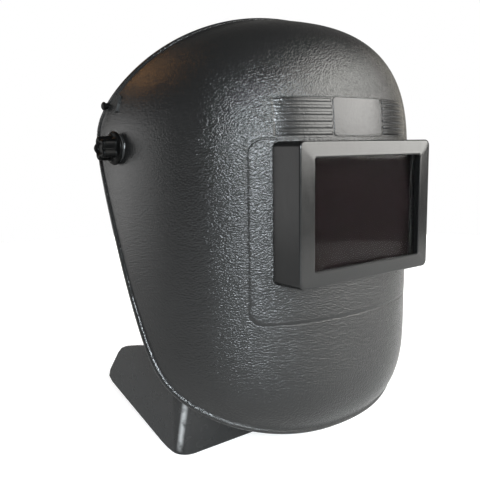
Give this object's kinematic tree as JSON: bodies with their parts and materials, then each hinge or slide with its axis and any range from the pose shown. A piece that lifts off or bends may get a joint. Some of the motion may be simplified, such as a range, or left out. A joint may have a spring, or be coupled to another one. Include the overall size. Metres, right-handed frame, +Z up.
{
  "type": "welding helmet",
  "caption": "Passive welding helmet: dark moulded face shell with framed filter window, throat guard, side tilt knobs and ratchet headgear.",
  "frame": {"origin": "middle of the wearer's head on the tilt axis, halfway between the two side pivots", "axes": "+Z up, the window faces -Y, +X is the wearer's left"},
  "size_m": [0.2648, 0.2515, 0.3066],
  "materials": {
    "shell_plastic": "black moulded polypropylene with a pebbled grain",
    "box_plastic": "smooth satin black",
    "guard_plastic": "smooth satin dark grey",
    "knob_plastic": "gloss black",
    "clear_plastic": "clear, flat",
    "filter_glass": "very dark, flat, polished",
    "rubber": "matt black",
    "steel": "zinc plated",
    "headgear_plastic": "smooth dark grey, flexible",
    "foam_cloth": "woven cover over foam"
  },
  "bodies": {
    "headgear": {"headband": "headgear_plastic", "band_keeper_left": "knob_plastic", "band_keeper_right": "knob_plastic", "head_arm_left": "headgear_plastic", "head_arm_right": "headgear_plastic", "temple_rivet_left": "steel", "temple_rivet_right": "steel", "crown_strap_left": "headgear_plastic", "crown_strap_right": "headgear_plastic", "crown_button": "knob_plastic", "ratchet_base": "headgear_plastic", "ratchet_cover": "headgear_plastic", "sweatband": "foam_cloth", "nape_pad": "foam_cloth", "pivot_stud_left": "steel", "pivot_stud_right": "steel", "pivot_spacer_left": "headgear_plastic", "pivot_spacer_right": "headgear_plastic", "inner_washer_left": "rubber", "inner_washer_right": "rubber", "outer_washer_left": "rubber", "outer_washer_right": "rubber"},
    "face_shell": {"helmet_shell": "shell_plastic", "lens_box": "box_plastic", "lens_collar": "box_plastic", "collar_screw_1": "steel", "collar_screw_2": "steel", "collar_screw_3": "steel", "collar_screw_4": "steel", "cover_plate": "clear_plastic", "lens_gasket": "rubber", "filter_plate": "filter_glass", "inner_plate": "clear_plastic", "lens_retainer": "box_plastic", "retainer_clip_left": "steel", "retainer_clip_right": "steel", "throat_guard": "guard_plastic", "guard_rivet_left": "knob_plastic", "guard_rivet_right": "knob_plastic", "stop_plate_left": "guard_plastic", "stop_plate_right": "guard_plastic", "stop_pin_left": "knob_plastic", "stop_pin_right": "knob_plastic"},
    "left_knob": {"pivot_knob_left": "knob_plastic"},
    "right_knob": {"pivot_knob_right": "knob_plastic"},
    "ratchet": {"ratchet_knob": "knob_plastic", "ratchet_pinion": "knob_plastic", "knob_screw": "steel"},
    "left_tail": {"rack_tail_left": "headgear_plastic"},
    "right_tail": {"rack_tail_right": "headgear_plastic"}
  },
  "joints": [
    {"name": "shell_tilt", "type": "hinge", "parent": "headgear", "child": "face_shell", "pos_m": [0, 0, 0], "axis": [-1, 0, 0], "range_deg": [0, 75]},
    {"name": "left_knob_turn", "type": "hinge", "parent": "headgear", "child": "left_knob", "pos_m": [0.126, 0, 0], "axis": [1, 0, 0], "range_deg": [0, 540]},
    {"name": "right_knob_turn", "type": "hinge", "parent": "headgear", "child": "right_knob", "pos_m": [-0.126, 0, 0], "axis": [-1, 0, 0], "range_deg": [0, 540]},
    {"name": "ratchet_turn", "type": "hinge", "parent": "headgear", "child": "ratchet", "pos_m": [0, 0.119, 0.003], "axis": [0, 1, 0], "range_deg": [-95, 95]},
    {"name": "left_tail_slide", "type": "hinge", "parent": "headgear", "child": "left_tail", "pos_m": [0, 0.027, 0.003], "axis": [0, 0, 1], "range_deg": [-6.8, 6.8]},
    {"name": "right_tail_slide", "type": "hinge", "parent": "headgear", "child": "right_tail", "pos_m": [0, 0.027, 0.003], "axis": [0, 0, 1], "range_deg": [-6.8, 6.8]}
  ],
  "couplings": [
    {"joint": "left_tail_slide", "follows": "ratchet_turn", "ratio": -0.06993},
    {"joint": "right_tail_slide", "follows": "ratchet_turn", "ratio": 0.06993}
  ]
}
